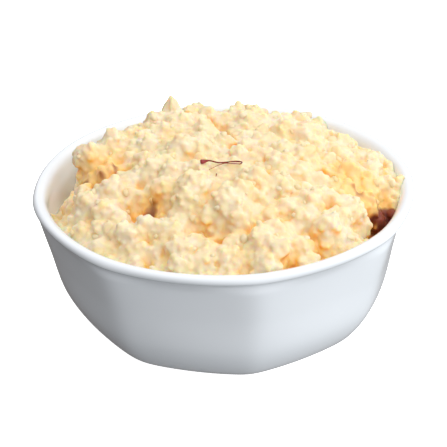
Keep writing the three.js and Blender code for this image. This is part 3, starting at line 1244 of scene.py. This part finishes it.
class HALWA_OT_crumbs(bpy.types.Operator):
    """Scatter loose crumbs over the heap"""

    bl_idname = "halwa.crumbs"
    bl_label = "Loose crumbs"

    def execute(self, context):
        sizes = context.scene.halwa_crumbs
        heap = bpy.data.objects["halwa_heap"]
        surface = heap.data.copy()
        points, normals = points_of(surface), normals_of(surface)
        cluster = np.array([noise.noise(Vector(p) * 110.0) for p in points])
        share = np.clip(0.6 + 1.2 * cluster, 0, 1) * np.clip(normals[:, 2] * 3 + 0.3, 0, 1)
        share *= read_attribute(surface, "open") * (1 - 0.8 * bed_share(points))
        write_attribute(surface, "open", share)
        shapes = curd_shapes(sizes.seed)
        material = halwa_material(context.scene.halwa_heap, "milk_crumb", 0.0)
        crumbs = scatter(
            surface,
            "halwa_crumbs",
            shapes,
            material,
            Spacing=sizes.spacing,
            Smallest=sizes.smallest,
            Largest=sizes.largest,
            Seed=sizes.seed,
            **CRUMBS,
        )
        clear_shelf(shapes)
        bpy.data.meshes.remove(surface)
        mesh = crumbs.data
        fit_in_bowl(mesh, CRUMB_OVERLAP)
        # Painted light and shade: each crumb takes the sky and painted shade of the heap under it,
        # painted lighter by CRUMB_LIGHT, and the heap under the crumbs is painted darker by
        # CRUMB_SHADE.
        under = nearest_of(points_of(heap.data), points_of(mesh))
        sky = read_attribute(heap.data, "sky")
        write_attribute(mesh, "sky", np.clip(sky[under] + CRUMB_LIGHT, 0, 1))
        write_attribute(mesh, "painted_shade", read_attribute(heap.data, "painted_shade")[under])
        sky[np.unique(under)] -= CRUMB_SHADE
        write_attribute(heap.data, "sky", neighbour_mean(heap.data, sky, 2, 0.5))
        mesh.shade_smooth()
        hand_over(crumbs, material)
        return {"FINISHED"}


def bearing_and_height(bearing, elevation):
    """A direction from its bearing from the serving side and its elevation, in degrees."""
    bearing, elevation = radians(bearing), radians(elevation)
    level = cos(elevation)
    return Vector((sin(bearing) * level, -cos(bearing) * level, sin(elevation)))


def set_camera(scene, settings, turn):
    """Aim the camera at the rim's middle, a little off it and rolled."""
    middle = Vector((0, 0, scene.halwa_bowl.height))
    ahead = Vector((0, cos(settings.elevation), -sin(settings.elevation)))
    stand = middle - ahead * settings.distance
    right = Vector((1, 0, 0))
    up = right.cross(ahead)
    ahead = (ahead + right * settings.aim_right + up * settings.aim_up).normalized()
    right = ahead.cross(Vector((0, 0, 1))).normalized()
    up = right.cross(ahead)
    rolled_right = right * cos(settings.roll) + up * sin(settings.roll)
    rolled_up = up * cos(settings.roll) - right * sin(settings.roll)
    axes = Matrix([turn @ axis for axis in (rolled_right, rolled_up, -ahead)]).transposed()
    lens = bpy.data.cameras.new("camera")
    lens.sensor_fit = "HORIZONTAL"
    lens.sensor_width = 36.0
    lens.lens = settings.lens
    lens.clip_start = 0.01
    camera = bpy.data.objects.new("camera", lens)
    camera.matrix_world = Matrix.Translation(turn @ (stand - middle) + middle) @ axes.to_4x4()
    scene.collection.objects.link(camera)
    scene.camera = camera


def set_lights(scene, turn):
    """Hang the lamps listed in LIGHTS, each facing the bowl."""
    for name, bearing, elevation, distance, width, power, tint in LIGHTS:
        lamp = bpy.data.lights.new(name, "AREA")
        lamp.shape = "DISK"
        lamp.size = width
        lamp.energy = power
        lamp.color = tint
        way = turn @ bearing_and_height(bearing, elevation)
        holder = bpy.data.objects.new(name, lamp)
        facing = way.to_track_quat("Z", "Y").to_matrix().to_4x4()
        holder.matrix_world = Matrix.Translation(way * distance) @ facing
        scene.collection.objects.link(holder)


def set_floor():
    """A plain pale floor that shines a little, and lights nothing itself."""
    disc = bmesh.new()
    bmesh.ops.create_circle(disc, cap_ends=True, segments=96, radius=6.0)
    floor = put_in_scene("floor", mesh_from(disc, "floor"))
    material, tree, shader = new_material("pale_floor")
    finish = {
        "Base Color": (0.9, 0.9, 0.9, 1),
        "Roughness": 0.9,
        "Specular IOR Level": 0.0,
        "Emission Color": (1, 1, 1, 1),
        "Emission Strength": 0.85,
    }
    give(tree, shader, finish)
    floor.data.materials.append(material)
    floor.visible_diffuse = False
    floor.visible_glossy = False


def set_world(scene, settings, turn):
    """Soft light from the sides named in SKY, on a plain white background."""
    world = bpy.data.worlds.new("soft light")
    scene.world = world
    world.use_nodes = True
    world.cycles.sampling_method = "NONE"
    tree = world.node_tree
    tree.nodes.clear()
    way = place(tree, "ShaderNodeTexCoord").outputs["Generated"]
    glow = None
    for side, strength, tint in SKY:
        facing = dot(tree, way, turn @ Vector(side))
        lit = calc(tree, "MAXIMUM", calc(tree, "MULTIPLY", facing, settings.sky * strength), 0.0)
        part = place(tree, "ShaderNodeBackground", {"Color": (*tint, 1), "Strength": lit})
        if glow is not None:
            part = place(tree, "ShaderNodeAddShader", {0: glow, 1: part.outputs[0]})
        glow = part.outputs[0]
    bright = place(tree, "ShaderNodeBackground", {"Color": (1, 1, 1, 1), "Strength": 1.0})
    path = place(tree, "ShaderNodeLightPath")
    chosen = place(
        tree,
        "ShaderNodeMixShader",
        {0: path.outputs["Is Camera Ray"], 1: glow, 2: bright.outputs[0]},
    )
    place(tree, "ShaderNodeOutputWorld", {"Surface": chosen.outputs[0]})


class HALWA_OT_stage(bpy.types.Operator):
    """Set the floor, the soft studio lights and the camera"""

    bl_idname = "halwa.stage"
    bl_label = "Stage, lights and camera"

    def execute(self, context):
        scene = context.scene
        settings = scene.halwa_stage
        turn = Matrix.Rotation(settings.serving_turn, 3, "Z")
        set_camera(scene, settings, turn)
        set_lights(scene, turn)
        set_floor()
        set_world(scene, settings, turn)
        scene.view_settings.view_transform = "Standard"
        scene.view_settings.look = "None"
        scene.view_settings.exposure = 0.0
        scene.view_settings.gamma = 1.0
        return {"FINISHED"}


# ---- The saffron ----


def saffron_material():
    """Dry saffron: dark red, browner along its ridges and paler towards the thin end."""
    material, tree, shader = new_material("saffron")
    at = object_coordinates(tree)
    along = attribute(tree, "along")
    mottle = ranged(tree, noise_value(tree, at, 1400.0, 3.0), 0.35, 0.65)
    base = mix_colours(tree, mottle, (0.10, 0.012, 0.010), (0.28, 0.030, 0.018))
    base = mix_colours(tree, ranged(tree, along, 0.12, 0.0, 0.0, 0.9), base, (0.33, 0.04, 0.05))
    base = mix_colours(tree, ranged(tree, along, 0.55, 1.0, 0.0, 0.75), base, (0.55, 0.22, 0.09))
    finish = {
        "Base Color": base,
        "Roughness": ranged(tree, mottle, 0.0, 1.0, 0.4, 0.6),
        "Normal": bump(tree, noise_value(tree, at, 3500.0, 3.0), 0.5, 0.1 * MM),
        "Specular IOR Level": 0.3,
    }
    give(tree, shader, finish)
    return material


def fibre(path, radii, sides, flute):
    """A fluted tube along a path, its two ends closed, with how far along each vertex is."""
    tube = bmesh.new()
    layer = tube.verts.layers.float.new("along")
    rings = []
    across = None
    for i, spot in enumerate(path):
        ahead = (path[min(i + 1, len(path) - 1)] - path[max(i - 1, 0)]).normalized()
        if across is None:
            across = ahead.cross(Vector((0, 0, 1))).normalized()
        across = (across - ahead * across.dot(ahead)).normalized()
        up = across.cross(ahead)
        share = i / (len(path) - 1)
        ring = []
        for k in range(sides):
            turn = 2 * pi * k / sides
            wide = radii[i] * (1 + flute * cos(3 * turn + 9 * share))
            point = spot + across * (cos(turn) * wide * 1.12) + up * (sin(turn) * wide * 0.9)
            vertex = tube.verts.new(point)
            vertex[layer] = share
            ring.append(vertex)
        rings.append(ring)
    for a, b in zip(rings, rings[1:]):
        for k in range(sides):
            tube.faces.new((a[k], a[(k + 1) % sides], b[(k + 1) % sides], b[k]))
    for ring, spot, share in ((rings[0], path[0], 0.0), (rings[-1], path[-1], 1.0)):
        tip = tube.verts.new(spot)
        tip[layer] = share
        for k in range(sides):
            tube.faces.new((ring[k], ring[(k + 1) % sides], tip))
    bmesh.ops.recalc_face_normals(tube, faces=tube.faces)
    return tube


def resting_path(course, tree, radii):
    """A smooth path over the curds: it rests on what is highest near each place."""
    steps = len(radii)
    flat = spline([served(*spot) for spot in course], steps)
    beside = 0.6 * MM
    heights = []
    for (x, y), radius in zip(flat, radii):
        highest = 0.0
        for dx, dy in ((0, 0), (beside, 0), (-beside, 0), (0, beside), (0, -beside)):
            hit = tree.ray_cast(Vector((x + dx, y + dy, OVER_ALL)), Vector((0, 0, -1)))[0]
            highest = max(highest, hit.z)
        heights.append(highest + 0.75 * radius)
    reach = max(2, steps // 8)
    padded = np.pad(heights, 2 * reach, mode="edge")
    bridged = np.array([padded[i : i + 2 * reach + 1].max() for i in range(steps + 2 * reach)])
    window = np.hanning(2 * reach + 1)
    heights = np.convolve(bridged, window / window.sum(), mode="valid")
    return [Vector((x, y, z)) for (x, y), z in zip(flat, heights)]


def lay_fibre(name, course, tree, radii, sides, flute):
    """Lay a fibre with the given radii along its course on the heap."""
    tube = fibre(resting_path(course, tree, radii), radii, sides, flute)
    mesh = mesh_from(tube, name)
    mesh.shade_smooth()
    return put_in_scene(name, mesh)


class HALWA_OT_saffron(bpy.types.Operator):
    """Lay the folded saffron thread and a small broken tip on the heap"""

    bl_idname = "halwa.saffron"
    bl_label = "Saffron"

    def execute(self, context):
        sizes = context.scene.halwa_saffron
        material = saffron_material()
        tree = faces_of(bpy.data.objects["halwa_heap"].data)

        share = np.linspace(0, 1, THREAD_STEPS)
        radii = np.interp(share, *zip(*THREAD_RADII)) * sizes.head_radius
        radii *= 1 + 0.1 * np.sin(share * 47) * (share > 0.15)
        thread = lay_fibre("saffron_strand", THREAD_COURSE, tree, radii, sides=12, flute=0.12)
        hand_over(thread, material, "saffron_thread")

        radii = np.interp(np.linspace(0, 1, TIP_STEPS), *zip(*TIP_RADII)) * MM
        tip = lay_fibre("saffron_tip", TIP_COURSE, tree, radii, sides=10, flute=0.1)
        hand_over(tip, material)
        return {"FINISHED"}


# ---- The add-on ----


class HALWA_PT_panel(bpy.types.Panel):
    bl_idname = "HALWA_PT_panel"
    bl_label = "Milk halwa"
    bl_space_type = "VIEW_3D"
    bl_region_type = "UI"
    bl_category = "Halwa"

    def draw(self, context):
        for group, _, operator in PIECES:
            box = self.layout.box()
            box.operator(operator.bl_idname)
            settings = getattr(context.scene, group)
            for name in settings.__annotations__:
                box.prop(settings, name)


# Where the scene keeps each group of sizes, the group, and the operator that reads it.
PIECES = (
    ("halwa_bowl", BowlSizes, HALWA_OT_bowl),
    ("halwa_heap", HalwaSizes, HALWA_OT_heap),
    ("halwa_crumbs", CrumbSizes, HALWA_OT_crumbs),
    ("halwa_saffron", SaffronSizes, HALWA_OT_saffron),
    ("halwa_stage", StageSettings, HALWA_OT_stage),
)


def register():
    for group, sizes, operator in PIECES:
        bpy.utils.register_class(sizes)
        setattr(bpy.types.Scene, group, PointerProperty(type=sizes))
        bpy.utils.register_class(operator)
    bpy.utils.register_class(HALWA_PT_panel)


def unregister():
    bpy.utils.unregister_class(HALWA_PT_panel)
    for group, sizes, operator in reversed(PIECES):
        bpy.utils.unregister_class(operator)
        delattr(bpy.types.Scene, group)
        bpy.utils.unregister_class(sizes)


def main():
    register()
    bpy.ops.halwa.bowl()
    bpy.ops.halwa.heap()
    bpy.ops.halwa.crumbs()
    bpy.ops.halwa.saffron()
    bpy.ops.halwa.stage()


if __name__ == "__main__":
    main()
